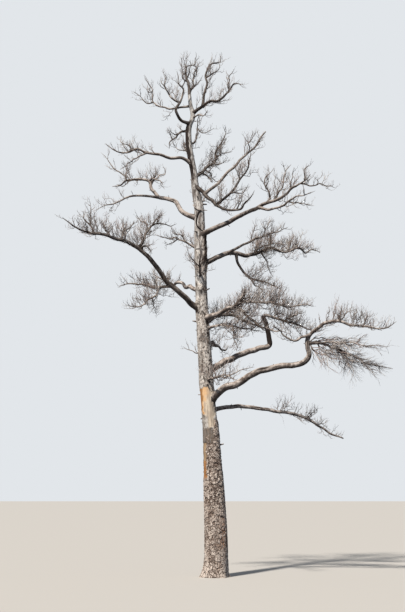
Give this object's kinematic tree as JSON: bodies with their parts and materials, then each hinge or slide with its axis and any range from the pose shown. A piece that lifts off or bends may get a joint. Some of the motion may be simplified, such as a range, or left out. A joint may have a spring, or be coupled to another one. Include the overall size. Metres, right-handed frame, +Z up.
{
  "type": "dead standing pine tree",
  "caption": "Tall dead pine, still standing: tapering scaly trunk on a flat-cut flared foot, crooked bare boughs and masses of leafless, upturned twigs.",
  "frame": {"origin": "middle of the flat cut under the trunk, at ground level", "axes": "+Z up the trunk, +X to the right in the reference view, +Y away from the viewer"},
  "size_m": [7.3199, 4.177, 12.1105],
  "materials": {
    "trunk_bark": "scaly grey-brown bark low down, thin streaked bark and silvery bare wood above, matt",
    "bare_wood": "weathered grey wood with the last flakes of bark, matt",
    "dead_twigs": "dry leafless twigs, pinkish grey, matt"
  },
  "bodies": {
    "root": {"trunk": "trunk_bark", "arch_left_bough": "bare_wood", "back_low_bough": "bare_wood", "back_mid_bough": "bare_wood", "back_upper_bough": "bare_wood", "crown_left_bough": "bare_wood", "dark_right_bough": "bare_wood", "elbow_bough": "bare_wood", "elbow_fan_bough": "bare_wood", "elbow_riser_bough": "bare_wood", "fork_right_bough": "bare_wood", "great_left_bough": "bare_wood", "great_right_bough": "bare_wood", "hook_right_bough": "bare_wood", "hook_riser_bough": "bare_wood", "long_diagonal_bough": "bare_wood", "low_left_bough": "bare_wood", "low_right_bough": "bare_wood", "mid_hanging_bough": "bare_wood", "mid_right_bough": "bare_wood", "mid_upper_bough": "bare_wood", "right_low_bough": "bare_wood", "swan_left_bough": "bare_wood", "swan_low_bough": "bare_wood", "arch_left_twigs": "dead_twigs", "back_high_twigs": "dead_twigs", "back_low_twigs": "dead_twigs", "back_mid_twigs": "dead_twigs", "back_upper_twigs": "dead_twigs", "crown_left_twigs": "dead_twigs", "crown_right_twigs": "dead_twigs", "crown_spur_twigs": "dead_twigs", "curl_right_twigs": "dead_twigs", "dark_right_twigs": "dead_twigs", "elbow_fan_twigs": "dead_twigs", "elbow_twigs": "dead_twigs", "fork_right_twigs": "dead_twigs", "front_low_twigs": "dead_twigs", "front_mid_twigs": "dead_twigs", "great_left_twigs": "dead_twigs", "great_right_twigs": "dead_twigs", "hanging_left_twigs": "dead_twigs", "high_left_twigs": "dead_twigs", "hook_right_twigs": "dead_twigs", "leader_twigs": "dead_twigs", "left_low_wisp_twigs": "dead_twigs", "left_wisp_twigs": "dead_twigs", "long_diagonal_twigs": "dead_twigs", "low_left_twigs": "dead_twigs", "low_right_twigs": "dead_twigs", "mid_hanging_twigs": "dead_twigs", "mid_right_twigs": "dead_twigs", "mid_upper_twigs": "dead_twigs", "right_climber_twigs": "dead_twigs", "right_low_twigs": "dead_twigs", "right_wisp_twigs": "dead_twigs", "swan_left_twigs": "dead_twigs", "swan_low_twigs": "dead_twigs", "thin_right_twigs": "dead_twigs", "under_right_twigs": "dead_twigs"}
  },
  "joints": []
}
